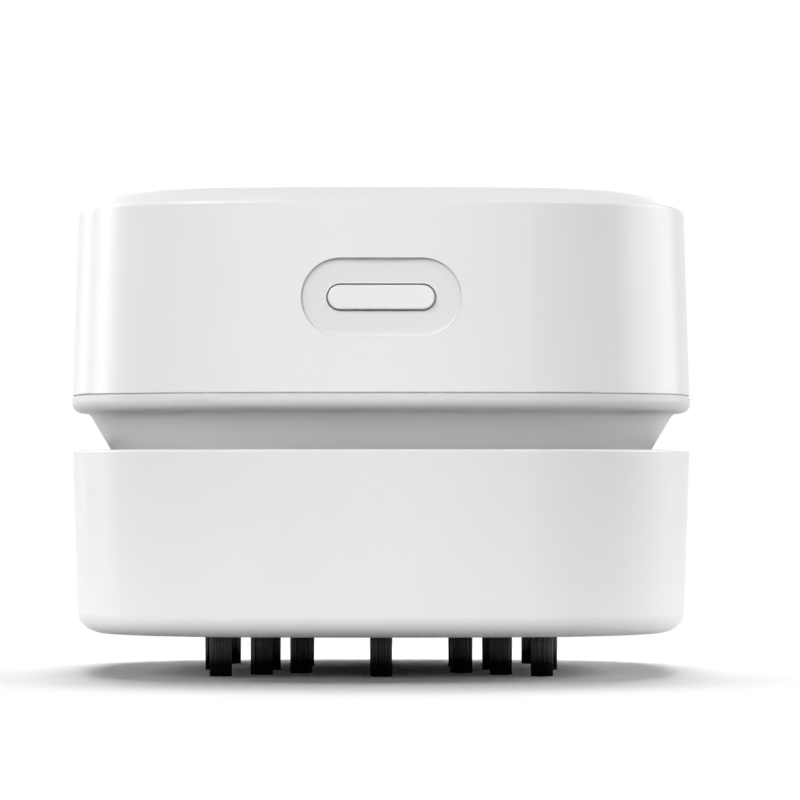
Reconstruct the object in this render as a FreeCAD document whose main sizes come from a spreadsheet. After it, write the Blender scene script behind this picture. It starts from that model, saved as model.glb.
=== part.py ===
# Desktop mini vacuum cleaner, in millimetres.
# +Z is up, the front with the push button faces -Y, and the origin is on the desk,
# in the middle of the footprint, where the tips of the brush tufts stand.
import FreeCAD, Part
import math
import os

import Sketcher

# Driving dimensions: alias, value, what it is.
DIMENSIONS = [
    ("half_width", 40.0, "centre to the middle of a side, at the lip"),
    ("corner_centre", 14.8, "centre of the corner arcs, along X and along Y"),
    ("corner_radius", 24.0, "corner arcs of the outline at the lip"),
    ("draft", 0.032, "inward lean of the outer walls, mm per mm of height"),
    ("wall", 2.0, "thickness of the outer walls"),
    ("edge_round", 0.12, "softening of the edges that meet at the seam"),
    # The upper shell.
    ("top_z", 61.0, "top face of the upper shell"),
    ("bevel_height", 2.0, "bevel round the top face, up and down"),
    ("bevel_width", 2.6, "bevel round the top face, inwards"),
    ("shoulder_round", 0.6, "softening of the bevel's lower edge"),
    ("top_round", 4.0, "rounding from the bevel into the top face"),
    ("shell_inset", 0.08, "upper shell's lower edge behind the lip"),
    ("seam_z", 35.25, "top of the lip"),
    ("seam_gap", 0.2, "height of the groove between the lip and the upper shell"),
    ("seam_depth", 0.4, "depth of that groove, behind the lip"),
    # The lip and the funnel under the head.
    ("lip_low_z", 33.3, "underside of the lip"),
    ("lip_round", 1.3, "rounding of the lip's lower edge"),
    ("funnel_low_z", 24.0, "underside of the funnel"),
    ("funnel_low_inset", 7.7, "funnel's lower edge, behind the lip"),
    ("funnel_high_inset", 2.2, "funnel's upper edge, behind the lip"),
    ("funnel_round", 1.3, "hollow curve from the lip into the funnel"),
    ("funnel_wall", 1.15, "thickness of the funnel's wall at its lower edge"),
    ("funnel_floor", 1.2, "thickness of the funnel's floor"),
    ("fan_mouth", 9.0, "radius of the hole in the funnel's floor, under the fan"),
    ("slot_width", 2.6, "exhaust slot, left to right"),
    ("slot_height", 2.4, "exhaust slot, up and down"),
    ("slot_pitch", 4.6, "from one exhaust slot to the next"),
    ("skirt_low_z", 17.0, "lower edge of the round skirt"),
    ("skirt_radius", 32.0, "outside of the round skirt"),
    ("skirt_wall", 1.6, "thickness of the round skirt"),
    ("slide_gap", 0.4, "room between the skirt and the collar"),
    # The dust cup.
    ("cup_low_z", 5.4, "underside of the dust cup"),
    ("cup_rim_z", 28.5, "rim of the dust cup"),
    ("cup_inset", 0.1, "rim of the dust cup behind the lip"),
    ("cup_round", 2.5, "rounding under the dust cup"),
    ("rim_round", 0.3, "softening of the cup's rim"),
    ("cup_floor", 3.0, "thickness of the cup's floor"),
    ("ledge_z", 20.0, "ledge in the cup that carries the collar"),
    ("ledge_width", 1.0, "width of that ledge"),
    ("collar_thick", 2.0, "thickness of the collar in the cup"),
    ("seal_width", 3.4, "rubber seal, across its foot"),
    ("seal_foot", 0.8, "rubber seal's upright edge"),
    ("tuft_radius", 1.42, "one brush tuft"),
    ("inner_ring", 14.5, "radius of the inner ring of tufts"),
    ("middle_ring", 21.5, "radius of the middle ring of tufts"),
    ("corner_ring", 28.6, "radius of the four corner tufts"),
    ("brush_plate_radius", 32.6, "round plate that holds the tufts"),
    ("brush_plate_thick", 1.5, "thickness of that plate"),
    ("inlet_radius", 9.0, "suction inlet"),
    ("inlet_wall", 1.5, "wall of the inlet tube"),
    ("inlet_flange", 2.5, "reach of the flange round the inlet tube"),
    ("flange_thick", 1.2, "thickness of that flange"),
    ("inlet_top_z", 15.0, "top of the inlet tube"),
    ("press_gap", 0.1, "room round a piece that is pushed or glued into another"),
    # What holds the head together.
    ("plate_low_z", 33.6, "underside of the motor plate"),
    ("plate_thick", 1.6, "thickness of the motor plate"),
    ("seat_inset", 3.5, "seat of the motor plate, behind the lip"),
    ("spigot_thick", 1.2, "rim that centres the upper shell"),
    ("spigot_height", 1.6, "height of that rim above the lip"),
    ("post_place", 25.0, "screw posts, along X and along Y"),
    ("post_radius", 3.2, "screw posts"),
    ("post_seat", 4.0, "from the funnel's underside up to the seat of a long screw"),
    ("screw_radius", 1.0, "thread of the long screws"),
    ("screw_length", 16.5, "long screw under its head"),
    ("small_screw", 0.7, "thread radius of the screws that hold the boards"),
    # The push button and its recess.
    ("button_z", 47.1, "height of the push button"),
    ("button_length", 13.1, "push button, left to right"),
    ("button_height", 3.0, "push button, up and down"),
    ("button_gap", 0.2, "gap round the push button"),
    ("button_face", 39.3, "front face of the push button, in front of the axis"),
    ("button_round", 0.2, "rounding of the push button's edge"),
    ("recess_length", 19.7, "recess round the button, left to right"),
    ("recess_height", 9.7, "recess round the button, up and down"),
    ("recess_face", 38.8, "floor of the recess, in front of the axis"),
    ("recess_back", 37.2, "inner face of the wall behind the recess"),
    ("recess_round", 0.25, "hollow curve round the recess's floor"),
    # Motor and fan.
    ("shaft_radius", 1.0, "motor shaft"),
    ("bush_gap", 0.05, "running clearance of the shaft in its bushings"),
    ("bush_radius", 2.2, "outside of a shaft bushing"),
    ("motor_radius", 12.2, "motor can"),
    ("motor_wall", 0.8, "wall of the motor can"),
    ("motor_height", 11.2, "motor can"),
    ("cap_thick", 1.4, "motor's end cap, and the height of the boss on it"),
    ("motor_screw_place", 8.0, "motor screws, left and right of the shaft"),
    ("motor_screw", 0.9, "thread radius of the motor screws"),
    ("magnet_low_z", 37.0, "underside of the motor's magnets"),
    ("magnet_height", 6.4, "height of the motor's magnets"),
    ("armature_low_z", 37.4, "underside of the armature core"),
    ("armature_height", 4.6, "height of the armature core"),
    ("armature_radius", 9.2, "outside of the armature's pole shoes"),
    ("coil_length", 2.6, "coil on each pole, outwards"),
    ("coil_place", 5.5, "middle of each coil, out from the shaft"),
    ("commutator_low_z", 43.0, "underside of the commutator"),
    ("fan_radius", 24.0, "impeller"),
    ("fan_low_z", 26.4, "lower edge of the impeller's blades"),
    ("fan_disc_z", 30.6, "underside of the impeller's disc"),
    ("fan_disc", 1.0, "thickness of the impeller's disc"),
    ("fan_hub", 3.4, "radius of the impeller's hub"),
    ("blade_thick", 0.9, "thickness of an impeller blade"),
    # Filter.
    ("filter_low_z", 17.4, "underside of the filter frame"),
    ("filter_radius", 30.2, "outside of the filter frame"),
    ("filter_height", 3.0, "height of the filter frame"),
    ("filter_bar", 1.8, "width of the bars across the filter frame"),
    ("filter_step", 0.8, "thickness of those bars"),
    # Battery, boards and charging socket.
    ("battery_length", 40.0, "battery cell, along X"),
    ("battery_width", 30.0, "battery cell, along Y"),
    ("battery_thick", 6.0, "battery cell"),
    ("battery_z", 49.8, "underside of the battery cell"),
    ("tray_thick", 1.2, "floor and rim of the battery's tray"),
    ("board_thick", 1.2, "circuit boards"),
    ("board_back", 31.8, "back face of the main board, in front of the axis"),
    ("board_screw_x", 10.5, "main board's screws, left and right of the middle"),
    ("board_screw_z", 53.0, "height of the main board's screws"),
    ("charger_screw_x", 6.0, "charging board's screws, left and right of the middle"),
    ("charger_screw_y", 24.0, "charging board's screws, behind the axis"),
    ("charger_post", 3.0, "height of the posts under the charging board"),
    ("plug_z", 41.5, "height of the plug sockets' wires on the main board"),
    ("plug_depth", 3.6, "how far the plug sockets stand off the main board"),
    ("wire_radius", 0.5, "insulated wires"),
    ("switch_size", 6.0, "body of the switch behind the button, each way"),
    ("switch_depth", 2.5, "depth of that body"),
    ("socket_z", 41.03, "middle of the charging socket"),
    ("socket_mouth", 38.4, "mouth of the charging socket, behind the axis"),
    ("socket_length", 8.94, "charging socket, left to right"),
    ("socket_height", 3.26, "charging socket, up and down"),
    ("socket_land", 3.4, "flat land round the hole for the plug, in all"),
]

CORNERS = [(-1, -1), (1, -1), (1, 1), (-1, 1)]
SIDES = (-1, 1)
# Two heights or depths nearer than this count as one.
TOUCH = 2e-3

doc = FreeCAD.newDocument("desktop_vacuum")
sheet = doc.addObject("Spreadsheet::Sheet", "Dims")
nodes = []


class Size:
    """A length: its value now, and the sheet expression that keeps it up to date."""

    def __init__(self, value, text):
        self.value = value
        self.text = text

    def __add__(self, other):
        other = as_size(other)
        return Size(self.value + other.value, f"({self.text} + {other.text})")

    def __sub__(self, other):
        other = as_size(other)
        return Size(self.value - other.value, f"({self.text} - {other.text})")

    def __mul__(self, other):
        other = as_size(other)
        return Size(self.value * other.value, f"({self.text} * {other.text})")

    def __truediv__(self, other):
        other = as_size(other)
        return Size(self.value / other.value, f"({self.text} / {other.text})")

    def __neg__(self):
        return Size(-self.value, f"(0 - {self.text})")


def as_size(number):
    """A plain number as a Size; a Size as it is."""
    if isinstance(number, Size):
        return number
    return Size(float(number), repr(float(number)))


class Dims:
    """The sheet's cells, by alias."""


d = Dims()
for row, (alias, value, note) in enumerate(DIMENSIONS, start=1):
    sheet.set(f"A{row}", note)
    sheet.set(f"B{row}", str(value))
    sheet.setAlias(f"B{row}", alias)
    setattr(d, alias, Size(value, f"Dims.{alias}"))
doc.recompute()

# Levels that several pieces share.
brush_plate_top = d.cup_low_z + d.brush_plate_thick
cup_floor_top = d.cup_low_z + d.cup_floor
funnel_floor_top = d.funnel_low_z + d.funnel_floor
shell_low = d.seam_z + d.seam_gap
shell_ceiling = d.top_z - d.wall
plate_top = d.plate_low_z + d.plate_thick
motor_top = plate_top + d.motor_height
charger_low = plate_top + d.charger_post
board_front = d.board_back + d.board_thick


# ---------------------------------------------------------------- drawing


def new_body(name):
    """A part of the assembly, which is written to its own file."""
    body = doc.addObject("PartDesign::Body", name)
    body.Label = name
    body.AllowCompound = True
    nodes.append(body)
    return body


def origin_feature(body, role):
    """One of the body's own planes or axes."""
    return next(f for f in body.Origin.OriginFeatures if f.Role == role)


class Drawing:
    """A sketch on one of the body's own planes, lifted along the plane's normal.

    On XZ the normal points to the front (-Y), and on XY up.
    """

    def __init__(self, body, plane="XY", lift=0.0):
        self.sketch = body.newObject("Sketcher::SketchObject", "Sketch")
        self.sketch.AttachmentSupport = (origin_feature(body, f"{plane}_Plane"), "")
        self.sketch.MapMode = "FlatFace"
        lift = as_size(lift)
        self.sketch.AttachmentOffset = FreeCAD.Placement(
            FreeCAD.Vector(0, 0, lift.value), FreeCAD.Rotation()
        )
        self.sketch.setExpression(".AttachmentOffset.Base.z", lift.text)

    def bind(self, kind, size, *where):
        """A sketch dimension that follows the sheet."""
        size = as_size(size)
        index = self.sketch.addConstraint(Sketcher.Constraint(kind, *where, size.value))
        self.sketch.setExpression(f"Constraints[{index}]", size.text)

    def place(self, curve, end, x, y):
        """Hold a point of a curve at (x, y)."""
        self.bind("DistanceX", x, -1, 1, curve, end)
        self.bind("DistanceY", y, -1, 1, curve, end)

    def circle(self, radius, x=0.0, y=0.0):
        x, y, radius = as_size(x), as_size(y), as_size(radius)
        centre = FreeCAD.Vector(x.value, y.value, 0)
        curve = self.sketch.addGeometry(
            Part.Circle(centre, FreeCAD.Vector(0, 0, 1), radius.value), False
        )
        self.place(curve, 3, x, y)
        self.bind("Radius", radius, curve)
        return self

    def polygon(self, points):
        """Straight lines through the points, closed."""
        points = [(as_size(x), as_size(y)) for x, y in points]
        spots = [FreeCAD.Vector(x.value, y.value, 0) for x, y in points]
        lines = []
        for spot, following in zip(spots, spots[1:] + spots[:1]):
            lines.append(self.sketch.addGeometry(Part.LineSegment(spot, following), False))
        for line, following in zip(lines, lines[1:] + lines[:1]):
            self.sketch.addConstraint(Sketcher.Constraint("Coincident", line, 2, following, 1))
        for line, (x, y) in zip(lines, points):
            self.place(line, 1, x, y)
        return self

    def rectangle(self, length, height, x=0.0, y=0.0):
        length, height, x, y = (as_size(v) for v in (length, height, x, y))
        left, right = x - length / 2, x + length / 2
        low, high = y - height / 2, y + height / 2
        return self.polygon([(left, low), (right, low), (right, high), (left, high)])

    def pill(self, length, height, y=0.0):
        """A long hole or button outline: two half circles and two straight sides."""
        length, height, y = as_size(length), as_size(height), as_size(y)
        radius = height / 2
        reach = length / 2 - radius
        up = FreeCAD.Vector(0, 0, 1)
        right_centre = FreeCAD.Vector(reach.value, y.value, 0)
        left_centre = FreeCAD.Vector(-reach.value, y.value, 0)
        quarter = math.pi / 2
        right = self.sketch.addGeometry(
            Part.ArcOfCircle(Part.Circle(right_centre, up, radius.value), -quarter, quarter), False
        )
        left = self.sketch.addGeometry(
            Part.ArcOfCircle(Part.Circle(left_centre, up, radius.value), quarter, 3 * quarter), False
        )
        rise = FreeCAD.Vector(0, radius.value, 0)
        top = self.sketch.addGeometry(Part.LineSegment(right_centre + rise, left_centre + rise), False)
        base = self.sketch.addGeometry(Part.LineSegment(left_centre - rise, right_centre - rise), False)
        for first, first_end, second, second_end in (
            (right, 2, top, 1), (top, 2, left, 1), (left, 2, base, 1), (base, 2, right, 1),
        ):
            self.sketch.addConstraint(
                Sketcher.Constraint("Tangent", first, first_end, second, second_end)
            )
        self.place(right, 3, reach, y)
        self.place(left, 3, -reach, y)
        self.bind("Radius", radius, right)
        return self

    def outline(self, inset):
        """The rounded-square plan: four corner arcs and four flatter side arcs."""
        inset = as_size(inset)
        to_corner = d.half_width - d.corner_centre
        rest = d.corner_radius * d.corner_radius - to_corner * to_corner
        side_radius = (rest - d.corner_centre * d.corner_centre) / (
            (d.corner_radius - to_corner) * 2
        )
        side_back = (side_radius - d.half_width).value
        reach = d.corner_centre.value
        turn = math.atan2(reach, reach + side_back)
        corner_r, side_r = d.corner_radius - inset, side_radius - inset
        up = FreeCAD.Vector(0, 0, 1)
        arcs = []
        centres = []
        for quadrant in range(4):
            spin = quadrant * math.pi / 2
            spun = FreeCAD.Rotation(up, math.degrees(spin))
            side_circle = Part.Circle(spun.multVec(FreeCAD.Vector(-side_back, 0, 0)), up, side_r.value)
            centres.append(spun.multVec(FreeCAD.Vector(reach, reach, 0)))
            corner_circle = Part.Circle(centres[-1], up, corner_r.value)
            side = Part.ArcOfCircle(side_circle, spin - turn, spin + turn)
            corner = Part.ArcOfCircle(corner_circle, spin + turn, spin + math.pi / 2 - turn)
            arcs.append(self.sketch.addGeometry(side, False))
            arcs.append(self.sketch.addGeometry(corner, False))
        for arc, following in zip(arcs, arcs[1:] + arcs[:1]):
            self.sketch.addConstraint(Sketcher.Constraint("Tangent", arc, 2, following, 1))
        for arc, centre in zip(arcs[1::2], centres):
            x = d.corner_centre if centre.x > 0 else -d.corner_centre
            y = d.corner_centre if centre.y > 0 else -d.corner_centre
            self.place(arc, 3, x, y)
            self.bind("Radius", corner_r, arc)
        for arc in arcs[0::2]:
            self.bind("Radius", side_r, arc)
        return self


# ---------------------------------------------------------------- features


def feature(body, kind, drawing, **lengths):
    """A PartDesign feature on a drawing, with its lengths bound to the sheet."""
    made = body.newObject(f"PartDesign::{kind}", kind)
    made.Profile = drawing.sketch
    for name, size in lengths.items():
        made.setExpression(name, as_size(size).text)
    return made


def pad(body, drawing, length, back=False):
    """Material on the drawing, along the plane's normal, or back from it."""
    made = feature(body, "Pad", drawing, Length=length)
    made.Reversed = back
    return made


def pocket(body, drawing, length, forward=False):
    """A cut from the drawing, against the plane's normal, or forward along it."""
    made = feature(body, "Pocket", drawing, Length=length)
    made.Reversed = forward
    return made


def revolve(body, drawing):
    """A turned piece about the vertical axis."""
    made = feature(body, "Revolution", drawing)
    made.ReferenceAxis = (drawing.sketch, ["V_Axis"])
    made.Angle = 360
    return made


def leaning_block(body, low, high, inset, lean):
    """The outline between two heights. Its walls lean out by lean mm per mm of height,
    and inset is measured at the desk, where z is 0."""
    block = pad(body, Drawing(body, lift=low).outline(inset), high - low)
    doc.recompute()
    walls = [
        f"Face{index}"
        for index, face in enumerate(block.Shape.Faces, start=1)
        if not isinstance(face.Surface, Part.Plane)
    ]
    lean = as_size(lean)
    leaning = body.newObject("PartDesign::Draft", "Lean")
    leaning.Base = (block, walls)
    leaning.NeutralPlane = (origin_feature(body, "XY_Plane"), [""])
    leaning.Reversed = lean.value > 0
    leaning.setExpression("Angle", f"abs(atan({lean.text}))")
    body.Tip = leaning
    doc.recompute()
    return leaning


def hollow(body, low, high):
    """Cut out the outline between two heights: each is (z, inset of the outline)."""
    sections = [Drawing(body, lift=z).outline(inset) for z, inset in (low, high)]
    made = feature(body, "SubtractiveLoft", sections[0])
    made.Sections = [sections[1].sketch]
    made.Ruled = True
    return made


def around(body, made, count):
    """Repeat features evenly about the vertical axis."""
    pattern = body.newObject("PartDesign::PolarPattern", "Around")
    pattern.Originals = [made]
    pattern.Axis = (origin_feature(body, "Z_Axis"), [""])
    pattern.Angle = 360
    pattern.Occurrences = count
    body.Tip = pattern
    return pattern


def edges_where(made, test):
    """Names of the edges of a feature whose box passes a test."""
    doc.recompute()
    return [
        f"Edge{index}"
        for index, edge in enumerate(made.Shape.Edges, start=1)
        if test(edge.BoundBox)
    ]


def level_at(z, past=0.0, within=math.inf):
    """A test for edges that lie flat at height z, and reach further out than past, not than within."""
    z, past, within = (as_size(v).value for v in (z, past, within))

    def test(box):
        flat = abs(box.ZMin - z) < TOUCH and abs(box.ZMax - z) < TOUCH
        return flat and past < max(abs(v) for v in (box.XMin, box.XMax, box.YMin, box.YMax)) < within

    return test


def facing(y):
    """A test for edges that lie in the plane at depth y."""
    y = as_size(y).value
    return lambda box: abs(box.YMin - y) < TOUCH and abs(box.YMax - y) < TOUCH


def dress(body, kind, made, test):
    """A PartDesign feature on the edges of another feature that pass a test."""
    names = edges_where(made, test)
    if not names:
        raise RuntimeError(f"{body.Label}: no edge for the {kind}")
    dressed = body.newObject(f"PartDesign::{kind}", kind)
    dressed.Base = (made, names)
    body.Tip = dressed
    return dressed


def soften(body, made, test, radius):
    """Round the edges that pass a test."""
    rounded = dress(body, "Fillet", made, test)
    rounded.Radius = as_size(radius).value
    rounded.setExpression("Radius", as_size(radius).text)
    return rounded


def bevel(body, made, test, height, width):
    """Slope the edges that pass a test: height down the wall, and width across the top."""
    sloped = dress(body, "Chamfer", made, test)
    sloped.ChamferType = "Two distances"
    for name, size in (("Size", height), ("Size2", width)):
        setattr(sloped, name, size.value)
        sloped.setExpression(name, size.text)
    return sloped


# ---------------------------------------------------------------- dust cup


def dust_cup():
    body = new_body("dust_cup")
    desk_inset = d.cup_inset + d.cup_rim_z * d.draft
    outer = leaning_block(body, d.cup_low_z, d.cup_rim_z, desk_inset, d.draft)
    outer = soften(body, outer, level_at(d.cup_low_z), d.cup_round)
    soften(body, outer, level_at(d.cup_rim_z), d.rim_round)
    ledge_inset = d.cup_inset + (d.cup_rim_z - d.ledge_z) * d.draft + d.wall
    hollow(body, (d.ledge_z, ledge_inset), (d.cup_rim_z, d.cup_inset + d.wall))
    bin_inset = ledge_inset + d.ledge_width
    floor_inset = bin_inset + (d.ledge_z - cup_floor_top) * d.draft
    hollow(body, (cup_floor_top, floor_inset), (d.ledge_z, bin_inset))
    plate_seat = Drawing(body, lift=d.cup_low_z).circle(d.brush_plate_radius + d.press_gap * 2)
    pocket(body, plate_seat, d.brush_plate_thick, forward=True)
    tube_hole = Drawing(body, lift=d.cup_low_z).circle(d.inlet_radius + d.inlet_wall + d.press_gap)
    pocket(body, tube_hole, d.cup_floor, forward=True)


# Each ring of tufts: the place of its first tuft, and how many stand evenly round the axis.
corner_tuft = d.corner_ring / math.sqrt(2)
TUFT_RINGS = {
    "inner_tufts": (0.0, -d.inner_ring, 8),
    "middle_tufts": (0.0, -d.middle_ring, 8),
    "corner_tufts": (corner_tuft, -corner_tuft, 4),
}


def brush_plate():
    """The round plate under the cup: a hole in the middle for the inlet, and a hole for each tuft."""
    body = new_body("brush_plate")
    disc = pad(body, Drawing(body, lift=d.cup_low_z).circle(d.brush_plate_radius), d.brush_plate_thick)
    soften(body, disc, level_at(d.cup_low_z), d.rim_round)
    mouth = Drawing(body, lift=d.cup_low_z).circle(d.inlet_radius)
    pocket(body, mouth, d.brush_plate_thick, forward=True)
    for x, y, count in TUFT_RINGS.values():
        tuft_hole = Drawing(body, lift=d.cup_low_z).circle(d.tuft_radius, x, y)
        around(body, pocket(body, tuft_hole, d.brush_plate_thick, forward=True), count)


def tufts(name):
    """A ring of bristle bundles, from the desk up into the brush plate."""
    x, y, count = TUFT_RINGS[name]
    body = new_body(name)
    around(body, pad(body, Drawing(body).circle(d.tuft_radius, x, y), brush_plate_top), count)


def inlet_tube():
    body = new_body("inlet_tube")
    outside = d.inlet_radius + d.inlet_wall
    flange = outside + d.inlet_flange
    flange_top = cup_floor_top + d.flange_thick
    tube = Drawing(body, "XZ").polygon([
        (d.inlet_radius, brush_plate_top),
        (outside, brush_plate_top),
        (outside, cup_floor_top),
        (flange, cup_floor_top),
        (flange, flange_top),
        (outside, flange_top),
        (outside, d.inlet_top_z),
        (d.inlet_radius, d.inlet_top_z),
    ])
    lip_softening = 0.5
    soften(body, revolve(body, tube), level_at(d.inlet_top_z), lip_softening)


def bin_collar():
    """The plate in the cup that the head's round skirt goes down through."""
    body = new_body("bin_collar")
    inset = d.cup_inset + (d.cup_rim_z - d.ledge_z) * d.draft + d.wall + d.press_gap
    pad(body, Drawing(body, lift=d.ledge_z).outline(inset), d.collar_thick)
    hole = Drawing(body, lift=d.ledge_z).circle(d.skirt_radius + d.slide_gap)
    pocket(body, hole, d.collar_thick, forward=True)


def seal_ring():
    """The rubber ring on the collar. The corners of the head's funnel rest on it."""
    body = new_body("seal_ring")
    low = d.ledge_z + d.collar_thick
    inside = d.skirt_radius + d.slide_gap + d.press_gap
    outside = inside + d.seal_width
    ring = Drawing(body, "XZ").polygon([
        (inside, low),
        (outside, low),
        (outside, low + d.seal_foot),
        (outside - d.seal_foot, d.funnel_low_z),
        (inside, d.funnel_low_z),
    ])
    revolve(body, ring)


# ---------------------------------------------------------------- head: housing


def upper_shell():
    body = new_body("upper_shell")
    top_inset = d.shell_inset + (d.top_z - shell_low) * d.draft
    outer = leaning_block(body, shell_low, d.top_z, d.shell_inset - shell_low * d.draft, -d.draft)
    outer = bevel(body, outer, level_at(d.top_z), d.bevel_height, d.bevel_width)
    outer = soften(body, outer, level_at(d.top_z), d.top_round)
    outer = soften(body, outer, level_at(d.top_z - d.bevel_height), d.shoulder_round)
    soften(body, outer, level_at(shell_low), d.edge_round)
    hollow(body, (shell_low, d.shell_inset + d.wall), (shell_ceiling, top_inset + d.wall))
    button_recess(body)
    socket_opening(body)
    screw_bosses(body)
    board_bosses(body)


def button_recess(body):
    """The shallow pill-shaped recess in the front wall, with the button's hole in it."""
    margin, backing_depth, past_wall = 3.0, 1.0, 0.5
    backing = Drawing(body, "XZ", d.recess_back)
    backing.pill(d.recess_length + margin, d.recess_height + margin, d.button_z)
    pad(body, backing, backing_depth)
    recess = Drawing(body, "XZ", d.half_width)
    recess.pill(d.recess_length, d.recess_height, d.button_z)
    cut = pocket(body, recess, d.half_width - d.recess_face)
    soften(body, cut, facing(-d.recess_face), d.recess_round)
    hole = Drawing(body, "XZ", d.half_width)
    hole.pill(d.button_length + d.button_gap * 2, d.button_height + d.button_gap * 2, d.button_z)
    pocket(body, hole, d.half_width - d.recess_back + past_wall)


def socket_opening(body):
    """The hole for the charging plug in the rear wall, with a shallow land round it."""
    land_depth, hole_room, hole_depth = 1.0, 0.4, 4.0
    land = Drawing(body, "XZ", -d.half_width)
    land.pill(d.socket_length + d.socket_land, d.socket_height + d.socket_land, d.socket_z)
    pocket(body, land, land_depth, forward=True)
    hole = Drawing(body, "XZ", -d.half_width)
    hole.pill(d.socket_length + hole_room, d.socket_height + hole_room, d.socket_z)
    pocket(body, hole, hole_depth, forward=True)


def post_places():
    """Where the four long screws stand."""
    return [(d.post_place * x, d.post_place * y) for x, y in CORNERS]


def screw_bosses(body):
    """Four bosses that hang from the ceiling down to the motor plate, and take the long screws."""
    narrower, bore_depth = 0.2, 10.0
    for x, y in post_places():
        boss = Drawing(body, lift=plate_top).circle(d.post_radius - narrower, x, y)
        pad(body, boss, shell_ceiling - plate_top)
    bores = Drawing(body, lift=plate_top)
    for x, y in post_places():
        bores.circle(d.screw_radius, x, y)
    pocket(body, bores, bore_depth, forward=True)


def board_bosses(body):
    """Two bosses on the front wall, one at each end of the main board."""
    boss_radius, boss_length, bore_depth = 2.2, 5.4, 4.0
    bosses = Drawing(body, "XZ", board_front)
    bores = Drawing(body, "XZ", board_front)
    for side in SIDES:
        bosses.circle(boss_radius, d.board_screw_x * side, d.board_screw_z)
        bores.circle(d.small_screw, d.board_screw_x * side, d.board_screw_z)
    pad(body, bosses, boss_length)
    pocket(body, bores, bore_depth, forward=True)


def chassis():
    """The lip, the funnel under it and the round skirt that goes down into the cup."""
    body = new_body("chassis")
    flare = (d.funnel_low_inset - d.funnel_high_inset) / (d.lip_low_z - d.funnel_low_z)
    desk_inset = d.funnel_low_inset + d.funnel_low_z * flare
    leaning_block(body, d.funnel_low_z, d.lip_low_z, desk_inset, flare)
    lip = pad(body, Drawing(body, lift=d.lip_low_z).outline(0), d.seam_z - d.lip_low_z)
    round_the_lip(body, lip)
    hollow_the_chassis(body)
    skirt = Drawing(body, lift=d.funnel_low_z)
    skirt.circle(d.skirt_radius).circle(d.skirt_radius - d.skirt_wall)
    pad(body, skirt, d.funnel_low_z - d.skirt_low_z, back=True)
    fan_mouth = Drawing(body, lift=d.funnel_low_z).circle(d.fan_mouth)
    pocket(body, fan_mouth, d.funnel_floor, forward=True)
    for x, y in post_places():
        post = Drawing(body, lift=funnel_floor_top).circle(d.post_radius, x, y)
        pad(body, post, d.plate_low_z - funnel_floor_top)
    exhaust_slots(body)
    screw_holes(body)


def round_the_lip(body, lip):
    """Round the lip's lower edge, soften its upper one, and curve its underside into the funnel."""
    near = 0.5
    funnel_side = d.half_width - d.funnel_high_inset
    outermost = d.half_width - near
    lip = soften(body, lip, level_at(d.lip_low_z, past=outermost), d.lip_round)
    lip = soften(body, lip, level_at(d.seam_z, past=outermost), d.edge_round)
    inner_edge = level_at(d.lip_low_z, past=funnel_side - near, within=funnel_side + near)
    soften(body, lip, inner_edge, d.funnel_round)


def hollow_the_chassis(body):
    """Cut the fan chamber and the motor plate's seat, and add the rim that the shell stands on
    and the one that centres it."""
    ledge = 1.6
    chamber_low = (funnel_floor_top, d.funnel_low_inset + d.funnel_wall)
    chamber_high = (d.plate_low_z, d.seat_inset + ledge)
    hollow(body, chamber_low, chamber_high)
    seat = Drawing(body, lift=d.plate_low_z).outline(d.seat_inset)
    pocket(body, seat, d.seam_z - d.plate_low_z, forward=True)
    bearing = Drawing(body, lift=d.seam_z).outline(d.seam_depth).outline(d.seat_inset)
    pad(body, bearing, d.seam_gap)
    spigot = Drawing(body, lift=d.seam_z)
    spigot.outline(d.seat_inset - d.spigot_thick).outline(d.seat_inset)
    pad(body, spigot, d.spigot_height)


def exhaust_slots(body):
    """Upright slots low in the funnel's four sides, where the air leaves the fan chamber."""
    count, above_floor, cut_depth = 9, 0.4, 12.0
    middle = funnel_floor_top + above_floor + d.slot_height / 2
    slots = Drawing(body, "XZ", d.half_width)
    for index in range(count):
        slots.rectangle(d.slot_width, d.slot_height, d.slot_pitch * (index - (count - 1) / 2), middle)
    around(body, pocket(body, slots, cut_depth), 4)


def screw_holes(body):
    """Holes for the long screws up through the posts, wider at the bottom for their heads."""
    thread_room, head_room = 0.2, 1.2
    clear_holes = Drawing(body, lift=d.funnel_low_z)
    head_holes = Drawing(body, lift=d.funnel_low_z)
    for x, y in post_places():
        clear_holes.circle(d.screw_radius + thread_room, x, y)
        head_holes.circle(d.screw_radius + head_room, x, y)
    pocket(body, clear_holes, d.plate_low_z - d.funnel_low_z, forward=True)
    pocket(body, head_holes, d.post_seat, forward=True)


def motor_plate():
    """The lid of the fan chamber, with a ring round the motor and posts for the charging board."""
    body = new_body("motor_plate")
    pad(body, Drawing(body, lift=d.plate_low_z).outline(d.seat_inset + d.press_gap * 2), d.plate_thick)
    ring_room, ring_thick, ring_height = 0.2, 1.6, 3.0
    board_post, shaft_hole, screw_room, drill_depth = 2.0, 3.2, 0.2, 6.0
    ring_inside = d.motor_radius + ring_room
    ring = Drawing(body, lift=plate_top).circle(ring_inside + ring_thick).circle(ring_inside)
    pad(body, ring, ring_height)
    for side in SIDES:
        post = Drawing(body, lift=plate_top)
        post.circle(board_post, d.charger_screw_x * side, d.charger_screw_y)
        pad(body, post, d.charger_post)
    holes = Drawing(body, lift=d.plate_low_z).circle(shaft_hole)
    for side in SIDES:
        holes.circle(d.motor_screw + screw_room, d.motor_screw_place * side)
        holes.circle(d.small_screw, d.charger_screw_x * side, d.charger_screw_y)
    for x, y in post_places():
        holes.circle(d.screw_radius + screw_room, x, y)
    pocket(body, holes, drill_depth, forward=True)


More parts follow.
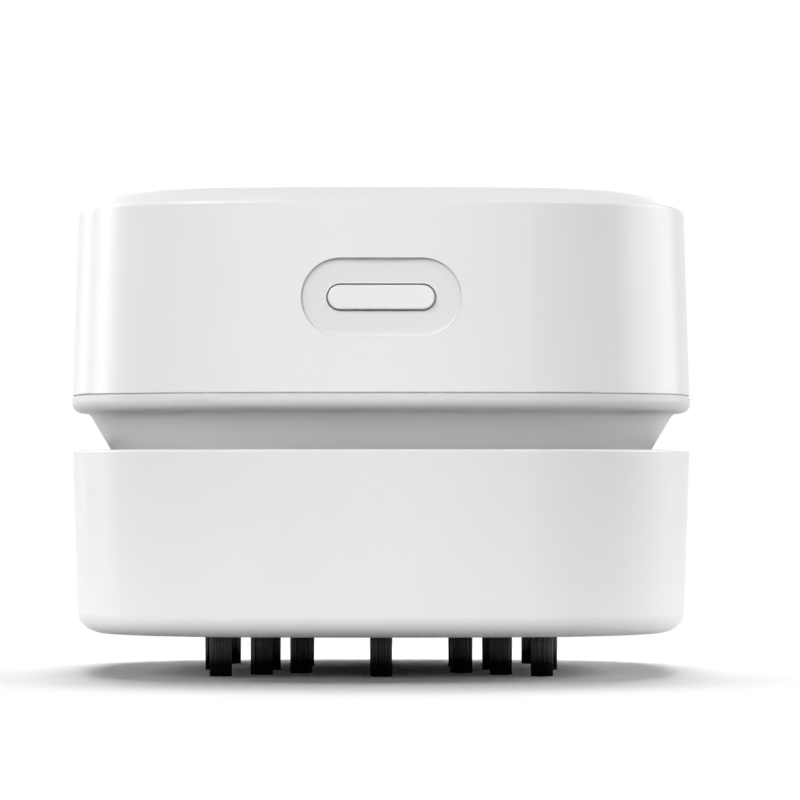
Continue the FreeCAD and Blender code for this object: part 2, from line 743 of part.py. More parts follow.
def chassis_screws():
    """Four screws from under the funnel, up through the posts into the upper shell."""
    body = new_body("chassis_screws")
    head_reach, head_thick, head_round = 0.9, 1.4, 0.3
    seat = d.funnel_low_z + d.post_seat
    for x, y in post_places():
        pad(body, Drawing(body, lift=seat).circle(d.screw_radius, x, y), d.screw_length)
        head = Drawing(body, lift=seat).circle(d.screw_radius + head_reach, x, y)
        heads = pad(body, head, head_thick, back=True)
    soften(body, heads, level_at(seat - head_thick), head_round)


# ---------------------------------------------------------------- head: filter


def filter_frame():
    """A stepped ring with a cross of bars under the mesh."""
    body = new_body("filter_frame")
    step_width, rim_thick, bar_end = 2.0, 1.6, 2.0
    low = d.filter_low_z
    inside = d.filter_radius - rim_thick
    ring = Drawing(body, "XZ").polygon([
        (inside - step_width, low),
        (d.filter_radius, low),
        (d.filter_radius, low + d.filter_height),
        (inside, low + d.filter_height),
        (inside, low + d.filter_step),
        (inside - step_width, low + d.filter_step),
    ])
    revolve(body, ring)
    length = d.filter_radius - bar_end
    bar = Drawing(body, lift=low).rectangle(length, d.filter_bar, length / 2)
    around(body, pad(body, bar, d.filter_step), 4)


def filter_disc(name, radius, low, thick):
    """A flat round layer of the filter."""
    body = new_body(name)
    pad(body, Drawing(body, lift=low).circle(radius), thick)


# ---------------------------------------------------------------- motor and fan


def motor_can():
    """A drawn cup round the motor, with a short nose that holds the front bushing."""
    body = new_body("motor_can")
    nose_radius, nose_length, floor_thick, edge_round = 3.0, 1.3, 1.0, 0.7
    inside = d.motor_radius - d.motor_wall
    profile = Drawing(body, "XZ").polygon([
        (d.bush_radius, plate_top - nose_length),
        (nose_radius, plate_top - nose_length),
        (nose_radius, plate_top),
        (d.motor_radius, plate_top),
        (d.motor_radius, motor_top),
        (inside, motor_top),
        (inside, plate_top + floor_thick),
        (d.bush_radius, plate_top + floor_thick),
    ])
    soften(body, revolve(body, profile), level_at(plate_top, past=d.motor_radius / 2), edge_round)
    holes = Drawing(body, lift=plate_top)
    for side in SIDES:
        holes.circle(d.motor_screw, d.motor_screw_place * side)
    pocket(body, holes, floor_thick, forward=True)


def motor_end_cap():
    """The disc that closes the can, with a boss that holds the rear bushing."""
    body = new_body("motor_end_cap")
    boss_radius = 3.4
    low, high = motor_top - d.cap_thick, motor_top + d.cap_thick
    inside = d.motor_radius - d.motor_wall
    profile = Drawing(body, "XZ").polygon([
        (d.bush_radius, low),
        (inside, low),
        (inside, motor_top),
        (boss_radius, motor_top),
        (boss_radius, high),
        (d.bush_radius, high),
    ])
    revolve(body, profile)


def bushing(name, low, height):
    """A bronze sleeve that the motor shaft turns in."""
    body = new_body(name)
    ring = Drawing(body, lift=low).circle(d.bush_radius).circle(d.shaft_radius + d.bush_gap)
    pad(body, ring, height)


def motor_magnets():
    """Two curved magnets inside the can, with the poles facing each other."""
    body = new_body("motor_magnets")
    thick, split_width, past = 1.5, 5.0, 1.0
    outside = d.motor_radius - d.motor_wall
    pad(body, Drawing(body, lift=d.magnet_low_z).circle(outside).circle(outside - thick), d.magnet_height)
    split = Drawing(body, lift=d.magnet_low_z).rectangle(outside * 2 + past, split_width)
    pocket(body, split, d.magnet_height, forward=True)


def motor_brushes():
    """Two spring leaves that hang from the end cap and touch the commutator."""
    body = new_body("motor_brushes")
    top = motor_top - d.cap_thick
    foot, root, thick, drop, width = 2.4, 3.3, 0.3, 1.6, 1.6
    leaf = Drawing(body, "XZ").polygon([
        (foot, top - drop), (foot + thick, top - drop), (root + thick, top), (root, top),
    ])
    made = pad(body, leaf, width)
    made.Midplane = True
    around(body, made, 2)


def motor_screws():
    """Two screws from the fan chamber, up through the motor plate into the can."""
    body = new_body("motor_screws")
    head_radius, head_thick, length = 1.8, 0.9, 2.5
    for side in SIDES:
        x = d.motor_screw_place * side
        pad(body, Drawing(body, lift=d.plate_low_z).circle(d.motor_screw, x), length)
        pad(body, Drawing(body, lift=d.plate_low_z).circle(head_radius, x), head_thick, back=True)


def motor_shaft():
    body = new_body("motor_shaft")
    above_can, end_round = 1.0, 0.2
    top = motor_top + above_can
    made = pad(body, Drawing(body, lift=d.fan_low_z).circle(d.shaft_radius), top - d.fan_low_z)
    soften(body, made, level_at(top), end_round)


def armature_core():
    """The laminated rotor of the motor: three poles with curved shoes."""
    body = new_body("armature_core")
    hub_radius, arm_length, arm_width, arm_middle = 3.0, 5.4, 2.6, 5.3
    shoe_thick, gap_length, gap_width = 1.4, 4.0, 2.4
    low, height = d.armature_low_z, d.armature_height
    pad(body, Drawing(body, lift=low).circle(hub_radius).circle(d.shaft_radius), height)
    arm = Drawing(body, lift=low).rectangle(arm_length, arm_width, arm_middle)
    around(body, pad(body, arm, height), 3)
    shoes = Drawing(body, lift=low).circle(d.armature_radius).circle(d.armature_radius - shoe_thick)
    pad(body, shoes, height)
    gap_middle = -d.armature_radius + shoe_thick / 2
    gap = Drawing(body, lift=low).rectangle(gap_length, gap_width, gap_middle)
    around(body, pocket(body, gap, height, forward=True), 3)


def armature_windings():
    """Three coils of wire, one on each pole."""
    body = new_body("armature_windings")
    coil_width, pole_width, past_pole = 6.6, 2.6, 0.5
    low, height = d.armature_low_z, d.armature_height
    coil = Drawing(body, lift=low - past_pole).rectangle(d.coil_length, coil_width, d.coil_place)
    around(body, pad(body, coil, height + past_pole * 2), 3)
    window = Drawing(body, lift=low).rectangle(d.coil_length, pole_width, d.coil_place)
    around(body, pocket(body, window, height, forward=True), 3)


def commutator():
    body = new_body("commutator")
    radius, height = 2.3, 1.9
    pad(body, Drawing(body, lift=d.commutator_low_z).circle(radius).circle(d.shaft_radius), height)


def impeller():
    """A disc with a hub, and nine backward-curved blades under it."""
    body = new_body("impeller")
    hub_above, hub_taper = 1.6, 0.8
    disc_top = d.fan_disc_z + d.fan_disc
    profile = Drawing(body, "XZ").polygon([
        (d.shaft_radius, d.fan_low_z),
        (d.fan_hub, d.fan_low_z),
        (d.fan_hub + hub_taper, d.fan_disc_z),
        (d.fan_radius, d.fan_disc_z),
        (d.fan_radius, disc_top),
        (d.fan_hub, disc_top),
        (d.fan_hub, disc_top + hub_above),
        (d.shaft_radius, disc_top + hub_above),
    ])
    revolve(body, profile)
    around(body, pad(body, blade(body), d.fan_disc_z - d.fan_low_z), 9)


def blade(body):
    """The plan of one blade, through stations of (share of the fan's radius, degrees round)."""
    stations = [(0.34, 0.0), (0.55, -8.0), (0.77, -20.0), (0.985, -34.0)]
    lean_to_radius = 60.0
    inner_side, outer_side = [], []
    for share, angle in stations:
        turn, across = math.radians(angle), math.radians(angle + lean_to_radius)
        radius = d.fan_radius * share
        x, y = radius * math.cos(turn), radius * math.sin(turn)
        half = d.blade_thick / 2
        outer_side.append((x + half * math.cos(across), y + half * math.sin(across)))
        inner_side.append((x - half * math.cos(across), y - half * math.sin(across)))
    return Drawing(body, lift=d.fan_low_z).polygon(outer_side + inner_side[::-1])


# ---------------------------------------------------------------- battery and boards


def battery_bracket():
    """A tray above the motor on four legs that stand on the motor plate."""
    body = new_body("battery_bracket")
    rim_height, leg_size, leg_x, leg_y = 1.4, 3.0, 19.5, 14.5
    tray_low = d.battery_z - d.tray_thick
    inside_length, inside_width = d.battery_length + 0.6, d.battery_width + 0.6
    length, width = inside_length + d.tray_thick * 2, inside_width + d.tray_thick * 2
    pad(body, Drawing(body, lift=tray_low).rectangle(length, width), d.tray_thick)
    rim = Drawing(body, lift=d.battery_z).rectangle(length, width).rectangle(inside_length, inside_width)
    pad(body, rim, rim_height)
    for x, y in CORNERS:
        leg = Drawing(body, lift=plate_top).rectangle(leg_size, leg_size, leg_x * x, leg_y * y)
        pad(body, leg, tray_low - plate_top)


def battery_cell():
    """A flat pouch cell with rounded long edges."""
    body = new_body("battery_cell")
    long_edge_round = 2.0
    block = Drawing(body, lift=d.battery_z).rectangle(d.battery_length, d.battery_width)
    made = pad(body, block, d.battery_thick)
    side = d.battery_width.value / 2

    def long_edges(box):
        along = box.XMax - box.XMin > d.battery_length.value / 2
        return along and abs(abs(box.YMin) - side) < TOUCH

    soften(body, made, long_edges, long_edge_round)


def battery_foam():
    """A foam pad that holds the battery down against the shell's ceiling."""
    body = new_body("battery_foam")
    shorter, narrower = 10.0, 8.0
    low = d.battery_z + d.battery_thick
    block = Drawing(body, lift=low).rectangle(d.battery_length - shorter, d.battery_width - narrower)
    pad(body, block, shell_ceiling - low)


def circuit_board():
    """The main board, upright behind the push button."""
    body = new_body("circuit_board")
    length, height, above_button, screw_room = 26.0, 16.0, 0.4, 0.4
    board = Drawing(body, "XZ", d.board_back).rectangle(length, height, 0.0, d.button_z + above_button)
    pad(body, board, d.board_thick)
    holes = Drawing(body, "XZ", d.board_back)
    for side in SIDES:
        holes.circle(d.small_screw + screw_room, d.board_screw_x * side, d.board_screw_z)
    pocket(body, holes, d.board_thick, forward=True)


def board_components():
    """The chip, the coil and two plug sockets on the back of the main board."""
    body = new_body("board_components")
    for x, z, length, height, thick in (
        (-5.0, 46.0, 5.0, 4.0, 1.2),
        (2.5, 43.0, 5.0, 5.0, 3.0),
        (-8.0, d.plug_z, 6.0, 2.4, d.plug_depth),
        (8.6, 47.0, 2.4, 6.0, d.plug_depth),
    ):
        spot = Drawing(body, "XZ", d.board_back).rectangle(length, height, x, z)
        pad(body, spot, thick, back=True)


def board_screws():
    """Two screws through the main board into the shell's bosses."""
    body = new_body("board_screws")
    head_radius, head_thick, length = 1.6, 0.9, 4.4
    for side in SIDES:
        place = (d.board_screw_x * side, d.board_screw_z)
        pad(body, Drawing(body, "XZ", d.board_back).circle(d.small_screw, *place), length)
        pad(body, Drawing(body, "XZ", d.board_back).circle(head_radius, *place), head_thick, back=True)


def charging_board():
    """The small board that lies on two posts behind the motor and carries the charging socket."""
    body = new_body("charging_board")
    length, width, middle_y, screw_room = 18.0, 16.2, 29.1, 0.2
    pad(body, Drawing(body, lift=charger_low).rectangle(length, width, 0.0, middle_y), d.board_thick)
    holes = Drawing(body, lift=charger_low)
    for side in SIDES:
        holes.circle(d.small_screw + screw_room, d.charger_screw_x * side, d.charger_screw_y)
    pocket(body, holes, d.board_thick, forward=True)


def charging_board_screws():
    body = new_body("charging_board_screws")
    head_radius, head_thick, length = 1.5, 0.9, 4.5
    top = charger_low + d.board_thick
    for side in SIDES:
        place = (d.charger_screw_x * side, d.charger_screw_y)
        pad(body, Drawing(body, lift=top).circle(d.small_screw, *place), length, back=True)
        pad(body, Drawing(body, lift=top).circle(head_radius, *place), head_thick)


def charging_socket():
    """The metal socket for the charging plug, with its tongue."""
    body = new_body("charging_socket")
    depth, back_wall, side_walls = 7.4, 1.0, 0.6
    tongue_length, tongue_thick, tongue_reach, tongue_root = 6.6, 0.7, 5.0, 6.5
    length, height = d.socket_length, d.socket_height
    pad(body, Drawing(body, "XZ", -d.socket_mouth).pill(length, height, d.socket_z), depth)
    inside = Drawing(body, "XZ", -d.socket_mouth)
    inside.pill(length - side_walls, height - side_walls, d.socket_z)
    pocket(body, inside, depth - back_wall, forward=True)
    tongue = Drawing(body, "XZ", -(d.socket_mouth - tongue_root))
    tongue.rectangle(tongue_length, tongue_thick, 0.0, d.socket_z)
    pad(body, tongue, tongue_reach, back=True)


def tact_switch():
    """The switch on the main board, with a round hole for its plunger."""
    body = new_body("tact_switch")
    hole_radius, hole_depth = 1.6, 1.3
    front = board_front + d.switch_depth
    case = Drawing(body, "XZ", front).rectangle(d.switch_size, d.switch_size, 0.0, d.button_z)
    pad(body, case, d.switch_depth, back=True)
    pocket(body, Drawing(body, "XZ", front).circle(hole_radius, 0.0, d.button_z), hole_depth)


# ---------------------------------------------------------------- wires


def wire(points, radius, bend):
    """One insulated wire: straight runs joined by tangent arcs of radius bend."""
    spots = [FreeCAD.Vector(*point) for point in points]
    edges = []
    start = spots[0]
    for before, corner, after in zip(spots, spots[1:], spots[2:]):
        into = (before - corner).normalize()
        away = (after - corner).normalize()
        half = into.getAngle(away) / 2
        cut = bend / math.tan(half)
        first, last = corner + into * cut, corner + away * cut
        middle = (into + away).normalize()
        top = corner + middle * (bend / math.sin(half) - bend)
        edges.append(Part.LineSegment(start, first).toShape())
        edges.append(Part.Arc(first, top, last).toShape())
        start = last
    edges.append(Part.LineSegment(start, spots[-1]).toShape())
    path = Part.Wire(edges)
    section = Part.Wire([Part.Circle(spots[0], spots[1] - spots[0], radius).toShape()])
    return path.makePipeShell([section], True, True)


def wire_pair(name, routes, bend):
    """Two wires that run side by side inside the head."""
    made = doc.addObject("Part::Feature", name)
    made.Label = name
    made.Shape = Part.makeCompound([wire(route, d.wire_radius.value, bend) for route in routes])
    nodes.append(made)


def battery_leads():
    """From the battery's end down to the plug socket low on the main board."""
    battery_end = -d.battery_width.value / 2
    leave_z, turn_y, down_y = 53.0, -19.5, -24.0
    plug_y, plug_z = d.plug_depth.value - d.board_back.value, d.plug_z.value
    wire_pair("battery_leads", [
        [(x, battery_end, leave_z), (x, turn_y, leave_z), (x, down_y, plug_z), (x, plug_y, plug_z)]
        for x in (-7.4, -6.0)
    ], 1.8)


def motor_leads():
    """From the motor's end cap straight across to the upright plug socket."""
    cap_top = motor_top.value
    run_z, leave_y = cap_top + 1.1, -4.0
    plug_y = d.plug_depth.value - d.board_back.value
    wire_pair("motor_leads", [
        [(x, leave_y, cap_top), (x, leave_y, run_z), (x, plug_y, run_z)]
        for x in (7.9, 9.3)
    ], 0.8)


def charging_leads():
    """From the charging board round the motor's left side to the plug socket low on the main board."""
    board_edge, leave_y, beside_y, past_y, down_y = 21.0, 17.0, 11.5, -19.0, -24.0
    board_z = (charger_low + d.board_thick / 2).value
    plug_y, plug_z = d.plug_depth.value - d.board_back.value, d.plug_z.value
    wire_pair("charging_leads", [
        [
            (start, board_edge, board_z), (start, leave_y, board_z), (side, beside_y, board_z),
            (side, past_y, board_z), (end, down_y, plug_z), (end, plug_y, plug_z),
        ]
        for start, side, end in ((-6.0, -15.4, -8.8), (-7.6, -16.9, -10.2))
    ], 1.5)


# ---------------------------------------------------------------- push button


def power_button():
    """The pill-shaped push button, with a flange behind the wall that keeps it in."""
    body = new_body("power_button")
    flange_reach, flange_thick, flange_gap = 1.8, 0.7, 0.1
    flange_front = d.recess_back - flange_gap
    face = Drawing(body, "XZ", d.button_face).pill(d.button_length, d.button_height, d.button_z)
    made = pad(body, face, d.button_face - flange_front, back=True)
    soften(body, made, facing(-d.button_face), d.button_round)
    flange = Drawing(body, "XZ", flange_front)
    flange.pill(d.button_length + flange_reach, d.button_height + flange_reach, d.button_z)
    pad(body, flange, flange_thick, back=True)


def switch_plunger():
    """The small rod between the button and the switch. It moves with the button."""
    body = new_body("switch_plunger")
    radius, length, behind_wall = 1.4, 1.5, 0.8
    rod = Drawing(body, "XZ", d.recess_back - behind_wall).circle(radius, 0.0, d.button_z)
    pad(body, rod, length, back=True)


# ---------------------------------------------------------------- the assembly

dust_cup()
brush_plate()
for ring_name in TUFT_RINGS:
    tufts(ring_name)
inlet_tube()
bin_collar()
seal_ring()
upper_shell()
chassis()
motor_plate()
chassis_screws()
filter_frame()
mesh_room, mesh_thick, sponge_thick = 1.7, 0.3, 3.2
filter_disc("filter_mesh", d.filter_radius - mesh_room, d.filter_low_z + d.filter_step, mesh_thick)
filter_disc("filter_sponge", d.filter_radius, d.filter_low_z + d.filter_height, sponge_thick)
motor_can()
motor_end_cap()
bush_drop, front_bush, rear_bush = 1.2, 2.2, 2.4
bushing("front_bushing", plate_top - bush_drop, front_bush)
bushing("rear_bushing", motor_top - bush_drop, rear_bush)
motor_magnets()
motor_brushes()
motor_screws()
motor_shaft()
armature_core()
armature_windings()
commutator()
impeller()
battery_bracket()
battery_cell()
battery_foam()
circuit_board()
board_components()
board_screws()
charging_board()
charging_board_screws()
charging_socket()
tact_switch()
battery_leads()
motor_leads()
charging_leads()
power_button()
switch_plunger()

doc.recompute()

failed = [o.Name for o in doc.Objects if "Invalid" in o.State or "Error" in o.State]
if failed:
    raise RuntimeError(f"objects that failed: {failed}")
for node in nodes:
    if node.Shape.isNull() or not node.Shape.isValid():
        raise RuntimeError(f"{node.Label}: no valid shape")

os.makedirs("parts", exist_ok=True)
for node in nodes:
    node.Shape.exportStep(f"parts/{node.Label}.step")
    box = node.Shape.BoundBox
    print(f"{node.Label:24s} solids {len(node.Shape.Solids):2d}  volume {node.Shape.Volume:9.1f}"
          f"  z {box.ZMin:6.2f} to {box.ZMax:6.2f}")
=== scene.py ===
"""The looks of the desktop mini vacuum cleaner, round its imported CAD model. Metres, +Z up, front -Y."""

import math
import random

import bpy
from mathutils import Euler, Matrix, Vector


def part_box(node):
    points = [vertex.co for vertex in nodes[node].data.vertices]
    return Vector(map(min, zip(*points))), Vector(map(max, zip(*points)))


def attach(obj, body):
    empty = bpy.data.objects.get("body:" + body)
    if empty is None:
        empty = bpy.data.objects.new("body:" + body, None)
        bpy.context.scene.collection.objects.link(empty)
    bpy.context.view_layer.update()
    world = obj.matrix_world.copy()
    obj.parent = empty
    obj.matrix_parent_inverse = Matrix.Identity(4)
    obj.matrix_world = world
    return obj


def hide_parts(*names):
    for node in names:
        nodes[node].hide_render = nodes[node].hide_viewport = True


MM = 0.001

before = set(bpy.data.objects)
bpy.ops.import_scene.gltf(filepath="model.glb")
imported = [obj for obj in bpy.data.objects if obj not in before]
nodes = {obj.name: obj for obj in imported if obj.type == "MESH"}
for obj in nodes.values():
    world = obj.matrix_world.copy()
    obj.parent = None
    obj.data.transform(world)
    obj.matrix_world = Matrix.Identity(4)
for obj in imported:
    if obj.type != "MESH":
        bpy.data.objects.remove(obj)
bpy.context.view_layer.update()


# ---------------------------------------------------------------- node trees


class Nodes:
    """A node tree, with short calls for the nodes used here."""

    def __init__(self, tree):
        self.tree = tree

    def add(self, kind, **settings):
        node = self.tree.nodes.new(kind)
        for name, value in settings.items():
            setattr(node, name, value)
        return node

    def feed(self, value, socket):
        """Puts a plain value, or what another node gives, into a socket."""
        if isinstance(value, bpy.types.NodeSocket):
            self.tree.links.new(value, socket)
        else:
            socket.default_value = value

    def math(self, operation, *values):
        node = self.add("ShaderNodeMath", operation=operation)
        for value, socket in zip(values, node.inputs):
            self.feed(value, socket)
        return node.outputs["Value"]

    def range(self, value, low, high, start=0.0, end=1.0, steps="LINEAR"):
        """Maps start..end to low..high, and stays at low before start and at high after end."""
        node = self.add("ShaderNodeMapRange", interpolation_type=steps)
        self.feed(value, node.inputs["Value"])
        self.feed(start, node.inputs["From Min"])
        self.feed(end, node.inputs["From Max"])
        self.feed(low, node.inputs["To Min"])
        self.feed(high, node.inputs["To Max"])
        return node.outputs["Result"]

    def mixed(self, share, first, second, blend="MIX"):
        """The second colour laid over the first one by a share."""
        node = self.add("ShaderNodeMix", data_type="RGBA", blend_type=blend)
        self.feed(share, node.inputs["Factor"])
        self.feed(first, node.inputs["A"])
        self.feed(second, node.inputs["B"])
        return node.outputs["Result"]

    def plain_rays(self):
        """1 for the rays that show the studio as it looks: from the camera, a glossy surface or glass."""
        path = self.add("ShaderNodeLightPath").outputs
        seen_or_glossy = self.math("MAXIMUM", path["Is Camera Ray"], path["Is Glossy Ray"])
        return self.math("MAXIMUM", seen_or_glossy, path["Is Transmission Ray"])


class Shader(Nodes):
    """A material for the object: a Principled shader, and patterns in the object's own coordinates."""

    def __init__(self, name, **values):
        self.material = bpy.data.materials.new(name)
        self.material.use_nodes = True
        super().__init__(self.material.node_tree)
        self.bsdf = self.tree.nodes["Principled BSDF"]
        self.place = self.add("ShaderNodeTexCoord").outputs["Object"]
        self.set(**values)

    def set(self, **values):
        """Feeds the shader's own sockets, such as Roughness=0.4."""
        for name, value in values.items():
            self.feed(value, self.bsdf.inputs[name.replace("_", " ")])

    def coordinates(self):
        """The object's x, y and z."""
        split = self.add("ShaderNodeSeparateXYZ")
        self.feed(self.place, split.inputs["Vector"])
        return split.outputs

    def noise(self, scale, detail=2.0, roughness=0.5, stretch=(1, 1, 1)):
        """Noise from 0 to 1. An axis with a small stretch number has long streaks."""
        mapping = self.add("ShaderNodeMapping")
        self.feed(self.place, mapping.inputs["Vector"])
        self.feed(stretch, mapping.inputs["Scale"])
        node = self.add("ShaderNodeTexNoise")
        self.feed(mapping.outputs["Vector"], node.inputs["Vector"])
        self.feed(scale, node.inputs["Scale"])
        self.feed(detail, node.inputs["Detail"])
        self.feed(roughness, node.inputs["Roughness"])
        return node.outputs["Fac"]

    def ramp(self, value, start, low, end, high):
        """The colour low up to start, high from end on, and a blend between them."""
        node = self.add("ShaderNodeValToRGB")
        first, last = node.color_ramp.elements
        first.position = start
        first.color = (*low, 1.0)
        last.position = end
        last.color = (*high, 1.0)
        self.feed(value, node.inputs["Fac"])
        return node.outputs["Color"]

    def bump(self, height, distance):
        node = self.add("ShaderNodeBump")
        self.feed(distance, node.inputs["Distance"])
        self.feed(height, node.inputs["Height"])
        self.set(Normal=node.outputs["Normal"])


def white(level):
    """A white or pale grey that is very slightly cool."""
    return (level, level, level + 0.005)


def shade(colour, factor):
    return tuple(min(1.0, channel * factor) for channel in colour)


# ---------------------------------------------------------------- materials

# How deep the finest roughness of moulded plastic and metal is.
GRAIN = 0.004 * MM
SATIN = {"Coat_Weight": 0.12, "Coat_Roughness": 0.25}

# The button's recess with the edge of its rim, where shade is painted: a pill on the front wall, and its
# middle above the desk.
RECESS_LENGTH = 19.74 * MM
RECESS_HEIGHT = 9.74 * MM
RECESS_MIDDLE = 47.1 * MM
# How far in from that outline the painted shade lightens from its rim tone to its inner tone.
RECESS_FADE = 1.1 * MM


def moulded(name, colour, rough, grain=GRAIN, **values):
    """Moulded plastic: a fine spark-eroded grain, a faint flow of tone, and slightly uneven gloss."""
    tone_change, gloss_change = 0.02, 0.04
    s = Shader(name, **values)
    flow = s.noise(scale=40.0, detail=3.0, roughness=0.55, stretch=(1, 1, 0.35))
    dark = shade(colour, 1 - tone_change)
    pale = shade(colour, 1 + tone_change)
    s.set(Base_Color=s.ramp(flow, 0.3, dark, 0.7, pale))
    s.set(Roughness=s.range(s.noise(scale=300.0), rough - gloss_change, rough + gloss_change))
    s.bump(s.noise(scale=7000.0, roughness=0.6), grain)
    return s


def plastic(*looks, **values):
    """Moulded plastic with nothing added to it."""
    return moulded(*looks, **values).material


def metal(name, colour, rough, lines=(1, 1, 1)):
    """Bare or plated metal. Its lines run across an axis with a large number, along one with a small one."""
    smoother, rougher = 0.08, 0.1
    s = Shader(name, Metallic=1.0)
    scratch = s.noise(scale=1500.0, detail=3.0, roughness=0.6, stretch=lines)
    dull = shade(colour, 0.86)
    s.set(Base_Color=s.ramp(scratch, 0.35, dull, 0.65, colour))
    s.set(Roughness=s.range(scratch, rough - smoother, rough + rougher))
    s.bump(scratch, GRAIN)
    return s.material


def inside_pill(s, length, height, middle):
    """Distance inside a pill outline on the front wall: more further in, and below 0 outside it."""
    x, y, z = s.coordinates()
    radius = height / 2
    past_straight = s.math("MAXIMUM", s.math("SUBTRACT", s.math("ABSOLUTE", x), length / 2 - radius), 0.0)
    above = s.math("SUBTRACT", z, middle)
    squares = s.math("ADD", s.math("POWER", past_straight, 2.0), s.math("POWER", above, 2.0))
    depth = s.math("SUBTRACT", radius, s.math("SQRT", squares))
    behind = s.math("GREATER_THAN", y, 0.0)
    return s.math("SUBTRACT", depth, behind)


def white_shell():
    """The shell's white, with painted shade in the recess round the button: darkest at its rim, lighter
    further in.
    """
    s = moulded("white_shell", white(0.84), rough=0.36, **SATIN)
    depth = inside_pill(s, RECESS_LENGTH, RECESS_HEIGHT, RECESS_MIDDLE)
    rim_shade, inner_shade = 0.84, 0.93
    # Painted shade in the recess: the colour is multiplied by 0.84 at the rim, 0.93 further in, and 1
    # outside it.
    recess_painted_shade = s.range(depth, rim_shade, inner_shade, 0.0, RECESS_FADE)
    outside = s.math("LESS_THAN", depth, 0.0)
    plain = s.bsdf.inputs["Base Color"].links[0].from_socket
    s.set(Base_Color=s.mixed(1.0, plain, s.math("MAXIMUM", recess_painted_shade, outside), "MULTIPLY"))
    return s.material


def bristle_nylon():
    """Black nylon filaments with a streaky sheen; painted shade makes them darker and less glossy towards
    their tips, near the desk.
    """
    tip_shade_tone, tip_shade_full, tip_shade_end = 0.06, 1.6 * MM, 3.9 * MM
    s = Shader("bristle_nylon")
    streak = s.noise(scale=1800.0, stretch=(1, 1, 0.03))
    nylon = s.ramp(streak, 0.3, (0.055, 0.055, 0.055), 0.75, (0.095, 0.095, 0.096))
    # Painted shade near the desk: colour and specular fall to 0.06 of themselves below 3.9 mm, fully so
    # below 1.6 mm.
    tip_shade_factor = s.range(s.coordinates()["Z"], tip_shade_tone, 1.0, tip_shade_full, tip_shade_end)
    s.set(Base_Color=s.mixed(1.0, nylon, tip_shade_factor, "MULTIPLY"))
    s.set(Specular_IOR_Level=s.math("MULTIPLY", tip_shade_factor, 0.5))
    s.set(Roughness=s.range(streak, 0.42, 0.6))
    s.bump(streak, 0.02 * MM)
    return s.material


def foam(name, colour, cell):
    """Open foam: cells from a Voronoi pattern, darker in their middles."""
    s = Shader(name, Roughness=0.95)
    cells = s.add("ShaderNodeTexVoronoi", feature="F1")
    s.feed(1 / cell, cells.inputs["Scale"])
    s.feed(s.place, cells.inputs["Vector"])
    out = cells.outputs["Distance"]
    dark = shade(colour, 0.4)
    pale = shade(colour, 1.35)
    s.set(Base_Color=s.ramp(out, 0.1, dark, 0.6, pale))
    s.bump(out, 0.25 * MM)
    return s.material


def woven(name, colour, waves):
    """A fine woven mesh: crossed bands. Waves is the scale of the bands: 314 gives a pitch of 1 mm."""
    s = Shader(name, Roughness=0.7)
    threads = []
    for axis in ("X", "Y"):
        wave = s.add("ShaderNodeTexWave", wave_type="BANDS", bands_direction=axis, wave_profile="SIN")
        s.feed(waves, wave.inputs["Scale"])
        s.feed(s.place, wave.inputs["Vector"])
        threads.append(wave.outputs["Fac"])
    weave = s.math("MAXIMUM", *threads)
    gaps = shade(colour, 0.35)
    s.set(Base_Color=s.ramp(weave, 0.35, gaps, 0.8, colour))
    s.bump(weave, 0.08 * MM)
    return s.material


def circuit_green():
    """Solder mask over copper tracks, laid out like bricks."""
    s = Shader("circuit_green", Roughness=0.35, Coat_Weight=0.4)
    tracks = s.add("ShaderNodeTexBrick")
    s.feed(260.0, tracks.inputs["Scale"])
    s.feed((0.02, 0.16, 0.07, 1), tracks.inputs["Color1"])
    s.feed((0.03, 0.2, 0.09, 1), tracks.inputs["Color2"])
    s.feed((0.012, 0.1, 0.045, 1), tracks.inputs["Mortar"])
    s.feed(s.place, tracks.inputs["Vector"])
    s.set(Base_Color=tracks.outputs["Color"])
    s.bump(tracks.outputs["Fac"], 0.02 * MM)
    return s.material


# ---------------------------------------------------------------- what each CAD node is made of

bristle = bristle_nylon()
